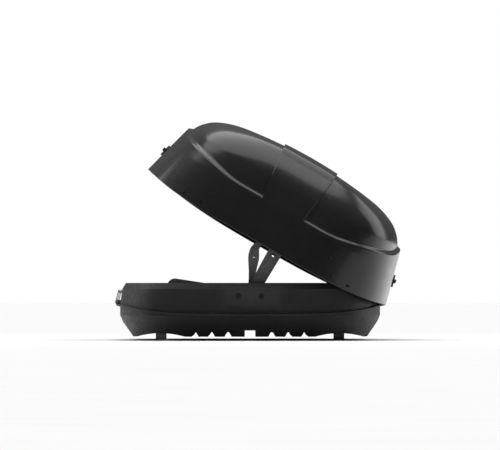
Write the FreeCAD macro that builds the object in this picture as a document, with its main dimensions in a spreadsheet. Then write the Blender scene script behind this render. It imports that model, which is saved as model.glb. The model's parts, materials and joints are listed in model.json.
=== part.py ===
"""Roof cargo box for a car: a long, shallow base tub with a moulded lid that opens from either side.

Frame: +Y points to the car's front, +X to its right, +Z up. The origin is in the middle of the box, on the
plane where its underside rests on the two crossbars. Every lid piece is modelled with the lid shut, and then
swung about the right-hand hinge line to the stored pose, in which the lid stands open on its left side.
"""
import FreeCAD, Part
import math
import os

import Sketcher
from FreeCAD import Placement, Rotation, Vector

doc = FreeCAD.newDocument("roof_cargo_box")

# ---------------------------------------------------------------- driving dimensions, in mm and degrees

DIMENSIONS = {
    "shell_wall": 4.0,
    "lip_height": 84.0,          # level of the parting line along the two sides
    "lip_drop": 38.0,            # how far the parting line falls towards each end
    "lip_straight": 662.0,       # where that fall begins, measured from the middle
    "lip_gap": 1.0,
    "flange_half_width": 446.0,
    "flange_thick": 5.0,
    "side_straight": 350.0,      # the sides are straight this far each way from the middle
    "rear_power": 4.0,           # bluntness of the plan outline at the rear
    "front_power": 3.0,
    "rib_depth": 24.0,
    "groove_depth": 15.0,
    "slot_depth": 21.0,
    "bar_pitch": 800.0,
    "bar_width": 80.0,
    "bar_thick": 28.0,
    "seat_length": 320.0,
    "lid_open": 29.8,
    "hinge_x": 443.0,
    "hinge_rise": 6.0,           # hinge axis above the side lip
    "hinge_pitch": 430.0,
    "hinge_pin_radius": 3.0,
    "hinge_pin_length": 76.0,
    "running_gap": 0.05,
    "leaf_barrel_radius": 4.8,
    "leaf_width": 50.0,
    "wall_lean": 14.7,
    "lift_pivot_rise": 27.0,
    "lift_arm_length": 250.0,
    "lift_arm_thick": 3.0,
    "cam_thick": 7.0,
    "lift_arm_open": 30.0,       # lean of the raised arm from upright
    "lift_arm_shut": 82.5,
    "glide_radius": 8.0,
    "glide_length": 12.0,
    "glide_play": 0.4,
    "arm_sight_hole": 6.0,
    "hook_sight_hole": 4.0,
    "pivot_bore": 4.05,
    "stay_hook_open": 5.0,
    "stay_hook_shut": 83.0,
    "bracket_bolt_x": 38.5,
    "bolt_radius": 4.0,
    "bolt_head_radius": 8.5,
    "pivot_pin_radius": 4.0,
    "knob_y": -450.0,
    "knob_rise": 86.0,           # up the leaning side wall, from the lip
    "knob_radius": 21.0,
    "knob_stand": 12.0,
    "knob_shaft_radius": 4.0,
    "crank_radius": 9.9,
    "latch_travel": 14.0,
    "strap_width": 25.0,
    "strap_thick": 1.5,
    "strap_pitch": 300.0,
    "clamp_x": 300.0,
    "clamp_length": 150.0,
    "clamp_width": 70.0,
    "clamp_height": 34.0,
    "clamp_knob_radius": 25.0,
    "clamp_shaft_radius": 5.0,
    "jaw_width": 30.0,
    "jaw_thick": 6.0,
    "jaw_travel": 12.0,
    "clamp_slide": 80.0,
}

sheet = doc.addObject("Spreadsheet::Sheet", "Sizes")
for row, (alias, value) in enumerate(DIMENSIONS.items(), start=1):
    sheet.set(f"A{row}", alias)
    sheet.set(f"B{row}", str(value))
    sheet.setAlias(f"B{row}", alias)
doc.recompute()


def size(alias):
    """The value of one spreadsheet cell."""
    return float(getattr(sheet, alias))


WALL = size("shell_wall")
LIP = size("lip_height")
PIVOT_Z = LIP + size("lift_pivot_rise")
HINGE = Vector(size("hinge_x"), 0, LIP + size("hinge_rise"))
LID_OPEN = math.radians(size("lid_open"))
LID_HALF_WIDTH = 457.5
LID_INNER_X = LID_HALF_WIDTH - WALL
FRONT_BOLT_X = 43.0
FRONT_BRACKET_Y = 885.0
SIDES = {"right": 1, "left": -1}
ENDS = {"rear": -1, "front": 1}

# Plan outlines stacked from bottom to top: height, half width, reach to the rear, reach to the front.
# Tub heights are from the crossbar plane, lid heights from the lip.
TUB_RINGS = [
    (-24, 390, 1000, 985),
    (26, 424, 1036, 1022),
    (46, 433, 1050, 1036),
    (84, 433, 1050, 1040),
    (134, 426, 1050, 1030),
    (154, 414, 1040, 1018),
]
LID_RINGS = [
    (-45, 469.3, 1076, 1076),
    (0, 457.5, 1070, 1068),
    (60, 441.8, 1058, 1040),
    (120, 426, 1044, 1005),
    (165, 414, 1032, 972),
    (185, 406, 1022, 955),
    (193, 392, 1006, 938),
    (222, 372, 985, 895),
    (250, 338, 960, 835),
    (272, 275, 935, 740),
    (285, 190, 905, 600),
    (293, 90, 850, 420),
]

# ---------------------------------------------------------------- shared helpers

kept = []


def keep(shape_object, label, placement=None):
    """Names a finished piece, places it, and lists it for export."""
    shape_object.Label = label
    if placement is not None:
        shape_object.Placement = placement.multiply(shape_object.Placement)
    kept.append(shape_object)
    return shape_object


def lid_swing(angle=LID_OPEN):
    """Placement that turns a piece about the right-hand hinge line, left side up."""
    turn = Rotation(Vector(0, 1, 0), math.degrees(angle))
    return Placement(Vector(0, 0, 0), turn, HINGE)


def wall_frame(side, y):
    """Placement on the lid's inner side wall at lip level, lid shut: local z runs up the leaning wall.

    Local x points away from the tub on the right-hand side and towards it on the left.
    """
    turn = Rotation(Vector(0, 1, 0), -side * size("wall_lean"))
    return Placement(Vector(side * LID_INNER_X, y, LIP), turn)


def bind(obj, **cells):
    """Ties properties of an object to expressions over the spreadsheet."""
    for prop, cell in cells.items():
        obj.setExpression(prop, cell)
    return obj


def feature(shape, name="Shape"):
    """A Part::Feature holding a shape made with Part's own functions."""
    obj = doc.addObject("Part::Feature", name)
    obj.Shape = shape
    return obj


def superellipse_end(half_width, reach, power, sign, points=13):
    """One rounded end of a plan outline, from the +X side to the -X side. sign is +1 for the front."""
    middle = size("side_straight")
    end = []
    for i in range(points):
        t = math.pi * i / (points - 1)
        c, s = math.cos(t), math.sin(t)
        x = half_width * math.copysign(abs(c) ** (2 / power), c)
        y = middle + (reach - middle) * abs(s) ** (2 / power)
        end.append(Vector(x, sign * y, 0))
    return end


def plan_wire(z, half_width, rear, front):
    """A closed plan outline at height z: two straight sides, a rounded rear and a rounded front."""
    rear_points = superellipse_end(half_width, rear, size("rear_power"), -1)
    front_points = superellipse_end(half_width, front, size("front_power"), 1)
    edges = []
    for points in (front_points, rear_points[::-1]):
        curve = Part.BSplineCurve()
        curve.interpolate(
            Points=points,
            InitialTangent=Vector(0, points[0].y, 0) if points is front_points else Vector(0, -1, 0),
            FinalTangent=Vector(0, -1, 0) if points is front_points else Vector(0, 1, 0),
        )
        edges.append(curve.toShape())
        next_start = rear_points[-1] if points is front_points else front_points[0]
        edges.append(Part.makeLine(points[-1], next_start))
    wire = Part.Wire(edges)
    wire.translate(Vector(0, 0, z))
    return wire


def ring_loft(rings, base_z, inset=0.0, bottom=0.0, top=0.0):
    """A solid through stacked plan outlines, pulled in by inset; bottom and top move its two end rings."""
    last = len(rings) - 1
    wires = []
    for i, (z, half_width, rear, front) in enumerate(rings):
        shift = bottom if i == 0 else top if i == last else 0.0
        wires.append(plan_wire(base_z + z + shift, half_width - inset, rear - inset, front - inset))
    return Part.makeLoft(wires, True, True)


def polygon_face(points):
    return Part.Face(Part.makePolygon(points + [points[0]]))


def across(points_yz, half_length):
    """A prism along X from a closed outline of (y, z) points."""
    face = polygon_face([Vector(-half_length, y, z) for y, z in points_yz])
    return face.extrude(Vector(2 * half_length, 0, 0))


def along(points_xz, y0, y1):
    """A prism along Y from a closed outline of (x, z) points."""
    face = polygon_face([Vector(x, y0, z) for x, z in points_xz])
    return face.extrude(Vector(0, y1 - y0, 0))


# ---------------------------------------------------------------- base tub

def lip_profile(top_offset, bottom_offset):
    """Side-view outline (y, z) that follows the parting line: level amidships, falling to both ends."""
    straight, drop = size("lip_straight"), size("lip_drop")
    reach = LID_RINGS[0][2] + 30
    radius = ((reach - straight) ** 2 + drop ** 2) / (2 * drop)

    def line(offset):
        z = LIP + offset
        middle = straight + (reach - straight) * 0.5
        half = z - radius + math.sqrt(radius ** 2 - (middle - straight) ** 2)
        rear = Part.Arc(Vector(0, -reach, z - drop), Vector(0, -middle, half), Vector(0, -straight, z))
        front = Part.Arc(Vector(0, straight, z), Vector(0, middle, half), Vector(0, reach, z - drop))
        level = Part.makeLine(Vector(0, -straight, z), Vector(0, straight, z))
        return [rear.toShape(), level, front.toShape()]

    upper, lower = line(top_offset), line(bottom_offset)
    ends = [
        Part.makeLine(upper[0].Vertexes[0].Point, lower[0].Vertexes[0].Point),
        Part.makeLine(upper[-1].Vertexes[-1].Point, lower[-1].Vertexes[-1].Point),
    ]
    return Part.Face(Part.Wire(Part.__sortEdges__(upper + lower + ends)))


def lip_slab(top_offset, bottom_offset, half_width=600):
    """A wavy slab that follows the parting line, between two offsets from it."""
    face = lip_profile(top_offset, bottom_offset)
    face.translate(Vector(-half_width, 0, 0))
    return face.extrude(Vector(2 * half_width, 0, 0))


def seat_tunnel(y, grow):
    """The cross tunnel in the underside that a crossbar passes through, with ramped ends."""
    half = size("seat_length") / 2 + grow
    ramp = size("rib_depth") + 6
    low = -size("rib_depth") - 6
    return across([(y - half - ramp, low), (y - half, grow), (y + half, grow), (y + half + ramp, low)], 600)


def underside_grooves(grow):
    """Lengthwise grooves between the ribs: a square slot in the middle, three each side, an arch outside."""
    low = -size("rib_depth") - 2
    deep = -size("rib_depth") + size("groove_depth") + grow
    solids = []
    for x in (72, 127, 181):
        for sign in SIDES.values():
            outline = [(-13 - grow, low), (-3 - grow / 2, deep), (3 + grow / 2, deep), (13 + grow, low)]
            solids.append(along([(sign * x + dx, z) for dx, z in outline], -1100, 1100))
    half_slot = 18 + grow
    slot_top = -size("rib_depth") + size("slot_depth") + grow
    solids.append(along([(-half_slot, low), (-half_slot, slot_top), (half_slot, slot_top), (half_slot, low)],
                        -1100, 1100))
    for sign in SIDES.values():
        arch = Part.Arc(Vector(215 - grow, -1100, low + 2 + grow), Vector(275, -1100, low + 13 + grow),
                        Vector(375 + grow, -1100, low + 2 + grow)).toShape()
        shut = Part.makePolygon([arch.Vertexes[1].Point, Vector(375 + grow, -1100, low - 3),
                                 Vector(215 - grow, -1100, low - 3), arch.Vertexes[0].Point])
        face = Part.Face(Part.Wire(Part.__sortEdges__([arch] + shut.Edges)))
        solid = face.extrude(Vector(0, 2200, 0))
        solids.append(solid if sign > 0 else solid.mirror(Vector(0, 0, 0), Vector(1, 0, 0)))
    return solids


def make_tub():
    """The base: a thin tub with a ribbed underside, an upstanding rim and a flange for the lid's edge."""
    outer = ring_loft(TUB_RINGS, 0)
    inner = ring_loft(TUB_RINGS, 0, inset=WALL, bottom=WALL, top=0.5)
    for y in (-size("bar_pitch") / 2, size("bar_pitch") / 2):
        outer = outer.cut(seat_tunnel(y, 0))
        inner = inner.cut(seat_tunnel(y, WALL))
    outer = outer.cut(underside_grooves(0))
    inner = inner.cut(underside_grooves(WALL))
    flange_ring = [(z, size("flange_half_width"), 1071, 1069) for z in (-60, 20)]
    flange = ring_loft(flange_ring, LIP).common(
        lip_slab(-size("lip_gap"), -size("lip_gap") - size("flange_thick")))
    tub = outer.fuse(flange).cut(inner)
    slot_half = size("clamp_slide") + size("bar_width") / 2 + size("jaw_travel") + 10
    for side in SIDES.values():
        for end in ENDS.values():
            slot = Part.makeBox(size("jaw_width") + 4, 2 * slot_half, 20,
                                Vector(side * size("clamp_x") - size("jaw_width") / 2 - 2,
                                       end * size("bar_pitch") / 2 - slot_half, -8))
            tub = tub.cut(slot)
    for x in (-1, 1):
        tub = tub.cut(Part.makeCylinder(size("pivot_bore"), 40,
                                        Vector(x * size("bracket_bolt_x"), -1070, PIVOT_Z), Vector(0, 1, 0)))
        tub = tub.cut(Part.makeCylinder(size("pivot_bore"), 20,
                                        Vector(x * FRONT_BOLT_X, FRONT_BRACKET_Y, -30)))
    return tub.removeSplitter().Solids[0]


keep(feature(make_tub(), "BaseTub"), "base_tub")


# ---------------------------------------------------------------- lid shell

def make_lid():
    """The lid: a moulded shell, wider at its edge, with a stepped shoulder under its crowned top."""
    outer = ring_loft(LID_RINGS, LIP)
    inner = ring_loft(LID_RINGS, LIP, inset=WALL, bottom=-1, top=-WALL)
    shell = outer.cut(inner).cut(lip_slab(0, -60))
    for side in SIDES.values():
        shaft = Part.makeCylinder(size("knob_shaft_radius") + 0.3, 40, Vector(-20, 0, size("knob_rise")),
                                  Vector(1, 0, 0))
        shaft.Placement = wall_frame(side, size("knob_y"))
        shell = shell.cut(shaft)
    return shell.Solids[0]


keep(feature(make_lid(), "LidShell"), "lid_shell", lid_swing())


# ---------------------------------------------------------------- small solids as document objects

def block(length, width, height, at):
    """A box whose three sizes are expressions over the spreadsheet; at is its lower corner."""
    box = doc.addObject("Part::Box", "Block")
    bind(box, Length=length, Width=width, Height=height)
    box.Placement = Placement(Vector(*at), Rotation())
    return box


def rod(radius, length, at, axis=(0, 0, 1)):
    """A cylinder whose two sizes are expressions over the spreadsheet."""
    cylinder = doc.addObject("Part::Cylinder", "Rod")
    bind(cylinder, Radius=radius, Height=length)
    cylinder.Placement = Placement(Vector(*at), Rotation(Vector(0, 0, 1), Vector(*axis)))
    return cylinder


def fused(*pieces):
    union = doc.addObject("Part::MultiFuse", "Fused")
    union.Shapes = list(pieces)
    return union


def carved(base, *tools):
    cut = doc.addObject("Part::Cut", "Carved")
    cut.Base = base
    cut.Tool = tools[0] if len(tools) == 1 else fused(*tools)
    return cut


def segments(points):
    """Line segments through (x, z) points, for a sketch."""
    corners = [Vector(x, z, 0) for x, z in points]
    return [Part.LineSegment(a, b) for a, b in zip(corners, corners[1:])]


def arc(start, middle, end):
    return Part.Arc(*(Vector(x, z, 0) for x, z in (start, middle, end)))


def spline(points):
    curve = Part.BSplineCurve()
    curve.interpolate([Vector(x, z, 0) for x, z in points])
    return curve


def plate(name, outline, holes, thickness):
    """A flat PartDesign plate in the XZ plane, thick both ways from y = 0, with round holes.

    outline is a list of sketch curves; holes are (x, z, radius cell); thickness is a cell.
    """
    body = doc.addObject("PartDesign::Body", name)
    sketch = body.newObject("Sketcher::SketchObject", name + "Outline")
    plane = [f for f in body.Origin.OriginFeatures if f.Role == "XZ_Plane"][0]
    sketch.AttachmentSupport = (plane, [""])
    sketch.MapMode = "FlatFace"
    for curve in outline:
        sketch.addGeometry(curve, False)
    for x, z, radius_cell in holes:
        index = sketch.addGeometry(Part.Circle(Vector(x, z, 0), Vector(0, 0, 1), size(radius_cell)), False)
        fixed = sketch.addConstraint(Sketcher.Constraint("Radius", index, size(radius_cell)))
        sketch.setExpression(f"Constraints[{fixed}]", f"Sizes.{radius_cell}")
    pad = body.newObject("PartDesign::Pad", name + "Pad")
    pad.Profile = sketch
    pad.Midplane = True
    pad.setExpression("Length", f"Sizes.{thickness}")
    return body


# ---------------------------------------------------------------- lid lifters: brackets, arms, hooks

# Layers along Y at the rear lifter, as middle planes; the front lifter is its mirror image.
REAR_LAYERS = {
    "outer_cheek": -991.5,
    "right_arm": -985.5,
    "right_hook": -979.5,
    "cam": -976.5,
    "left_hook": -973.5,
    "left_arm": -967.5,
    "inner_cheek": -958.5,
}
FRONT_SHIFT = FRONT_BRACKET_Y + (REAR_LAYERS["outer_cheek"] + REAR_LAYERS["inner_cheek"]) / 2
GLIDE_START = size("lift_arm_thick") / 2
CHEEK_WIDTH = 34             # each cheek of a lifter bracket, across the car
CHEEK_HEIGHT = 43
WEB_DROP = 31                # from the pivot down to the bracket's web
REAR_WALL_Y = -1045.6        # inside face of the tub's rear wall, behind the lifter
TUB_FLOOR_Z = -19.7          # inside face of the tub's floor, under the front lifter
SHELF_X = 31                 # half the width of the front bracket's shelf
FOOT_X = 55                  # how far its feet reach from the middle


def layer_y(end, name):
    """Middle plane of one lifter layer, at the rear or at the front."""
    y = REAR_LAYERS[name]
    return y if end == "rear" else FRONT_SHIFT - y


def make_bracket(end):
    """The lifter bracket: two cheeks on a web, bolted to the rear wall or standing on the floor in front."""
    thick = "Sizes.lift_arm_thick"
    thick_mm = size("lift_arm_thick")
    web_z = PIVOT_Z - WEB_DROP
    ys = [layer_y(end, name) for name in ("outer_cheek", "inner_cheek")]
    low, high = min(ys) - GLIDE_START, max(ys) + GLIDE_START
    pieces = [block(str(CHEEK_WIDTH), thick, str(CHEEK_HEIGHT), (-CHEEK_WIDTH / 2, y - GLIDE_START, web_z))
              for y in ys]
    if end == "rear":
        pieces.append(block("90", str(high - REAR_WALL_Y), thick, (-45, REAR_WALL_Y, web_z)))
        pieces.append(block("120", thick, "65", (-60, REAR_WALL_Y, 62)))
        bores = [rod("Sizes.pivot_bore", "10",
                     (x * size("bracket_bolt_x"), REAR_WALL_Y - 3, PIVOT_Z), (0, 1, 0)) for x in (-1, 1)]
    else:
        deep = str(high - low)
        leg_height = str(web_z - TUB_FLOOR_Z + 1)
        pieces.append(block(str(2 * SHELF_X), deep, thick, (-SHELF_X, low, web_z)))
        for x in (-SHELF_X, SHELF_X - thick_mm):
            pieces.append(block(thick, deep, leg_height, (x, low, TUB_FLOOR_Z)))
        for x in (-FOOT_X, SHELF_X - thick_mm):
            pieces.append(block(str(FOOT_X - SHELF_X + thick_mm), deep, thick, (x, low, TUB_FLOOR_Z)))
        bores = [rod("Sizes.pivot_bore", "10", (x * FRONT_BOLT_X, FRONT_BRACKET_Y, TUB_FLOOR_Z - 3))
                 for x in (-1, 1)]
    bores.append(rod("Sizes.pivot_bore", "60", (0, low - 5, PIVOT_Z), (0, 1, 0)))
    return carved(fused(*pieces), *bores)


def arm_placement(side, lean, y):
    """Turns an upright plate by its lean, to the right or to the left, about the lifter's pivot."""
    return Placement(Vector(0, y, PIVOT_Z), Rotation(Vector(0, 1, 0), side * lean))


def make_arm(name):
    """A lift arm: a tapered plate with a sight hole, round at both ends."""
    reach = size("lift_arm_length")
    low, high = 20.0, 25.0          # radius at the pivot and at the glide
    outline = [
        arc((-low, 0), (0, -low), (low, 0)),
        *segments([(low, 0), (high, reach)]),
        arc((high, reach), (0, reach + high), (-high, reach)),
        *segments([(-high, reach), (-low, 0)]),
    ]
    holes = [(0, 0, "pivot_bore"), (0, reach * 0.62, "arm_sight_hole")]
    return plate(name, outline, holes, "lift_arm_thick")


def make_hook(name, side):
    """A stay hook: narrow at the pivot, wide below its tip, and curling outwards at the top."""
    outline = [
        arc((11 * side, 0), (0, -11), (-11 * side, 0)),
        spline([(x * side, z) for x, z in ((-11, 0), (-9, 45), (-13, 95), (-17, 135), (-8, 165), (12, 183),
                                           (26, 187))]),
        arc((26 * side, 187), (31 * side, 181), (26 * side, 175)),
        spline([(x * side, z) for x, z in ((26, 175), (18, 164), (17, 150), (19, 132), (15, 95), (10, 45),
                                           (11, 0))]),
    ]
    return plate(name, outline, [(0, 0, "pivot_bore"), (2 * side, 131, "hook_sight_hole")], "lift_arm_thick")


def glide_path(count):
    """Centres of the right-hand glide in the shut lid's frame, from open to shut, as (x, z) pairs."""
    path = []
    for i in range(count):
        share = i / (count - 1)
        lean = math.radians(size("lift_arm_open") + share * (size("lift_arm_shut") - size("lift_arm_open")))
        tip = Vector(size("lift_arm_length") * math.sin(lean), 0,
                     PIVOT_Z + size("lift_arm_length") * math.cos(lean))
        in_lid = lid_swing(LID_OPEN * (1 - share)).inverse().multVec(tip)
        path.append((in_lid.x, in_lid.z))
    return path


def cam_edge(count=9):
    """The cam rail's working edge: the glide's path, moved out by its radius and its play."""
    offset = size("glide_radius") + size("glide_play")
    path = glide_path(count + 2)
    edge = []
    for before, here, after in zip(path, path[1:], path[2:]):
        run, rise = after[0] - before[0], after[1] - before[1]
        length = math.hypot(run, rise)
        edge.append((here[0] - offset * rise / length, here[1] + offset * run / length))
    return edge


def make_cam_rail(end):
    """The rail in the lid that both glides push up against, with tabs to the lid's end wall."""
    right = cam_edge()
    left = [(-x, z) for x, z in right[::-1]]
    top, low = LIP + 125, LIP + 52
    inner_x, outer_x, end_x = 41.0, 262.0, 290.0
    tab_reach, tab_width = 150, 18
    outline = [
        *segments([right[-1], (outer_x, low), (end_x, low), (end_x, top), (-end_x, top), (-end_x, low),
                   (-outer_x, low), left[0]]),
        spline(left),
        *segments([left[-1], (-inner_x, left[-1][1]), (-inner_x, LIP + 106), (inner_x, LIP + 106),
                   (inner_x, right[0][1]), right[0]]),
        spline(right),
    ]
    rail = plate("CamRail" + end.title(), outline, [], "cam_thick")
    doc.recompute()
    y = layer_y(end, "cam")
    solid = rail.Shape.copy()
    solid.translate(Vector(0, y, 0))
    sign = ENDS[end]
    start = y if sign > 0 else y - tab_reach
    tabs = [Part.makeBox(tab_width, tab_reach, 34, Vector(x, start, LIP + 78))
            for x in (end_x - tab_width, -end_x)]
    tabs.append(Part.makeBox(50, tab_reach, 10, Vector(-25, start, LIP + 115)))
    inside = ring_loft(LID_RINGS, LIP, inset=WALL + 0.3, bottom=-1, top=-WALL - 0.3)
    return feature(solid.fuse(tabs).common(inside), "CamRailFused")


for end in ENDS:
    keep(make_bracket(end), f"lifter_bracket_{end}")
    ys = sorted(layer_y(end, name) for name in ("outer_cheek", "inner_cheek"))
    pin_start = ys[0] - GLIDE_START
    pin_length = ys[1] - ys[0] + size("lift_arm_thick")
    pin = fused(rod("Sizes.pivot_pin_radius", str(pin_length + 2), (0, pin_start - 1, PIVOT_Z), (0, 1, 0)),
                rod("Sizes.pivot_pin_radius + 3", "2", (0, pin_start - 2.2, PIVOT_Z), (0, 1, 0)),
                rod("Sizes.pivot_pin_radius + 3", "2", (0, pin_start + pin_length + 0.2, PIVOT_Z), (0, 1, 0)))
    keep(pin, f"lifter_pin_{end}")
    spring_y = (layer_y(end, "left_arm") + layer_y(end, "inner_cheek")) / 2
    coil = ("5.4", (0, spring_y - 2.7, PIVOT_Z), (0, 1, 0))
    keep(carved(rod("9", *coil), rod("Sizes.pivot_bore + 0.6", *coil)), f"lifter_spring_{end}")
    keep(make_cam_rail(end), f"cam_rail_{end}", lid_swing())


def make_domed_bolt(start, axis, grip):
    """A low rounded head at start, a shank along axis through the grip, and a nut past it."""
    rise, nut_radius, nut_height = 3.6, 6.5, 5.0
    head = Part.makeCylinder(size("bolt_head_radius"), rise, Vector(0, 0, -rise))
    crown = [edge for edge in head.Edges if abs(edge.BoundBox.ZMax + rise) < 0.01]
    head = head.makeFillet(rise - 0.4, crown)
    shank = Part.makeCylinder(size("bolt_radius"), grip + 7, Vector(0, 0, -0.5))
    nut = Part.makeCylinder(nut_radius, nut_height, Vector(0, 0, grip + 0.2))
    bolt = head.fuse([shank, nut]).removeSplitter()
    bolt.Placement = Placement(start, Rotation(Vector(0, 0, 1), Vector(*axis)))
    return bolt


bolts = []
for sign in (-1, 1):
    outside = Vector(sign * size("bracket_bolt_x"), -1050.9, PIVOT_Z)
    bolts.append(make_domed_bolt(outside, (0, 1, 0), 8.4))
    below = Vector(sign * FRONT_BOLT_X, FRONT_BRACKET_Y, -24.2)
    bolts.append(make_domed_bolt(below, (0, 0, 1), 7.5))
keep(feature(Part.makeCompound(bolts), "LifterBolts"), "lifter_bolts")

# The right-hand group stands open with the lid; the left-hand group lies stowed in the tub.
for side_name, side in SIDES.items():
    arm_lean = size("lift_arm_open" if side > 0 else "lift_arm_shut")
    hook_lean = size("stay_hook_open" if side > 0 else "stay_hook_shut")
    glides, hooks = [], []
    for end in ENDS:
        arm = make_arm(f"LiftArm{side_name.title()}{end.title()}")
        arm_y = layer_y(end, side_name + "_arm")
        keep(arm, f"lift_arm_{side_name}_{end}", arm_placement(side, arm_lean, arm_y))
        inward = 1 if layer_y(end, "cam") > arm_y else -1
        glide = Part.makeCylinder(size("glide_radius"), size("glide_length"),
                                  Vector(0, inward * GLIDE_START, size("lift_arm_length")),
                                  Vector(0, inward, 0))
        glide.Placement = arm_placement(side, arm_lean, arm_y).multiply(glide.Placement)
        glides.append(glide)
        hook = make_hook(f"StayHook{side_name.title()}{end.title()}", side)
        doc.recompute()
        stood = hook.Shape.Solids[0].copy()
        stood.Placement = arm_placement(side, hook_lean, layer_y(end, side_name + "_hook"))
        hooks.append(stood)
    keep(feature(Part.makeCompound(glides), "ArmGlides"), f"arm_glides_{side_name}")
    keep(feature(Part.makeCompound(hooks), "StayHooks"), f"stay_hooks_{side_name}")


# ---------------------------------------------------------------- hinges that are also catches

HINGE_YS = [k * size("hinge_pitch") for k in (-1, 0, 1)]
LEAF_GAP = 1.0               # between the lid's wall and a hinge leaf
LEAF_THICK = 2.5
STUD_RISE = 44.0             # catch stud, up the wall from the lip
STUD_RADIUS = 3.0
RAIL_DEPTH = (6.5, 9.0)      # the latch rail's two faces, inward from the lid's wall
BAR_DEPTH = (9.2, 11.7)
STUD_DEPTH = 11.8
LOCK_RADIUS = 3.6
KNOB_GAP = 0.5
FINGER_LENGTH = 25           # reach of a latch finger that slides under a catch stud
CRANK_THICK = 3
CRANK_PIN_RADIUS = 2.5
FORK_HALF_SLOT = 3           # half the width of the fork's slot round the crank pin


def wall_box(side, y, depths, y_span, rise):
    """A box in the side wall's frame: depths are inward from the wall, rise is up the wall."""
    near, far = depths
    start = near if side < 0 else -far
    box = Part.makeBox(far - near, y_span[1] - y_span[0], rise[1] - rise[0],
                       Vector(start, y_span[0], rise[0]))
    box.Placement = wall_frame(side, y).multiply(box.Placement)
    return box


def wall_rod(side, y, depths, radius, y_offset, rise):
    """A cylinder square to the side wall, between two depths inward from it."""
    near, far = depths
    start = near if side < 0 else -far
    cylinder = Part.makeCylinder(radius, far - near, Vector(start, y_offset, rise), Vector(1, 0, 0))
    cylinder.Placement = wall_frame(side, y).multiply(cylinder.Placement)
    return cylinder


def hinge_rod(side, radius, y, half_length):
    return Part.makeCylinder(radius, 2 * half_length, Vector(side * HINGE.x, y - half_length, HINGE.z),
                             Vector(0, 1, 0))


def make_hinge_bracket(side, y):
    """A foot on the tub's flange with two ears that carry the hinge pin."""
    foot_x = (HINGE.x - 9.0, HINGE.x + 2.5)
    ear_x = (HINGE.x - 6.0, HINGE.x + 6.0)
    flange_top = LIP - size("lip_gap")
    foot = Part.makeBox(foot_x[1] - foot_x[0], 80, 1.2, Vector(foot_x[0], -40, flange_top))
    ear_height = HINGE.z + 7 - flange_top
    ears = [Part.makeBox(ear_x[1] - ear_x[0], 8, ear_height, Vector(ear_x[0], start, flange_top))
            for start in (-36, 28)]
    solid = foot.fuse(ears)
    if side < 0:
        solid = solid.mirror(Vector(0, 0, 0), Vector(1, 0, 0))
    solid.translate(Vector(0, y, 0))
    return solid.cut(hinge_rod(side, size("hinge_pin_radius") + size("running_gap"), y, 60))


def make_hinge_leaf(side, y):
    """A leaf that turns on the hinge pin, lies against the lid's wall, and ends in a catch stud."""
    half = size("leaf_width") / 2
    leaf = wall_box(side, y, (LEAF_GAP, LEAF_GAP + LEAF_THICK), (-half, half), (4, STUD_RISE + 6))
    web = wall_box(side, y, (LEAF_GAP + 1, 11), (-half, half), (5, 9))
    barrel = hinge_rod(side, size("leaf_barrel_radius"), y, half)
    stud = wall_rod(side, y, (LEAF_GAP + 1, STUD_DEPTH), STUD_RADIUS, 0, STUD_RISE)
    bore = hinge_rod(side, size("hinge_pin_radius") + size("running_gap"), y, 60)
    return leaf.fuse([web, barrel, stud]).cut(bore).removeSplitter()


def make_latch_rail(side):
    """The slotted rail in the lid that drops over the catch studs and guides the latch bar."""
    end = size("hinge_pitch") + 45
    rail = wall_box(side, 0, RAIL_DEPTH, (-end, end), (53, 70))
    lugs = [wall_box(side, y, RAIL_DEPTH, (-20, 20), (38, 54)) for y in HINGE_YS]
    half_slot = STUD_RADIUS + 0.5
    slots = [wall_box(side, y, RAIL_DEPTH, (-half_slot, half_slot), (30, STUD_RISE + half_slot))
             for y in HINGE_YS]
    stands = [wall_box(side, y, (0.4, RAIL_DEPTH[0]), (-12, 12), (55, 68)) for y in (-385, -215, 215, 385)]
    return rail.fuse(lugs + stands).cut(slots).removeSplitter()


def make_latch_bar(side):
    """The sliding bar that shuts the rail's slots under the studs, with a fork for the knob's crank."""
    end = size("hinge_pitch") + 28
    knob_y, knob_rise = size("knob_y"), size("knob_rise")
    bar = wall_box(side, 0, BAR_DEPTH, (-end, end), (55, 66))
    tip = -STUD_RADIUS - 1.5
    root = tip - FINGER_LENGTH
    fingers = []
    for y in HINGE_YS:
        fingers.append(wall_box(side, y, BAR_DEPTH, (root, root + 12), (33, 56)))
        fingers.append(wall_box(side, y, BAR_DEPTH, (root, tip), (33, STUD_RISE - 3.6)))
    fork = wall_box(side, knob_y, BAR_DEPTH, (-18, 6), (65, knob_rise - 4.5))
    slot_middle = -size("latch_travel") / 2
    slot = wall_box(side, knob_y, BAR_DEPTH, (slot_middle - FORK_HALF_SLOT, slot_middle + FORK_HALF_SLOT),
                    (knob_rise - 13.5, knob_rise))
    return bar.fuse(fingers + [fork]).cut(slot).removeSplitter()


def make_lock_knob(side):
    """A round knob with a grip bar outside; its shaft ends in a crank disc and pin inside the lid."""
    y, rise = size("knob_y"), size("knob_rise")
    outside = -WALL - KNOB_GAP
    face = outside - size("knob_stand") / 2
    top = outside - size("knob_stand")
    radius = size("knob_radius")
    disc = wall_rod(side, y, (face, outside), radius, 0, rise)
    grip = wall_box(side, y, (top, face), (-radius * 0.86, radius * 0.86), (rise - 6.5, rise + 6.5))
    crank_depth = BAR_DEPTH[1] + 0.5
    crank_end = crank_depth + CRANK_THICK
    shaft = wall_rod(side, y, (outside - 1, crank_end), size("knob_shaft_radius"), 0, rise)
    crank = wall_rod(side, y, (crank_depth, crank_end), 14, 0, rise)
    swing = size("crank_radius") * math.sqrt(0.5)
    pin = wall_rod(side, y, (BAR_DEPTH[0] - 0.1, crank_depth + 1), CRANK_PIN_RADIUS, -swing,
                   rise - swing)
    bore = wall_rod(side, y, (top - 1, top + 8.2), LOCK_RADIUS + 0.1, 0, rise)
    return disc.fuse([grip, shaft, crank, pin]).cut(bore).removeSplitter()


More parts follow.
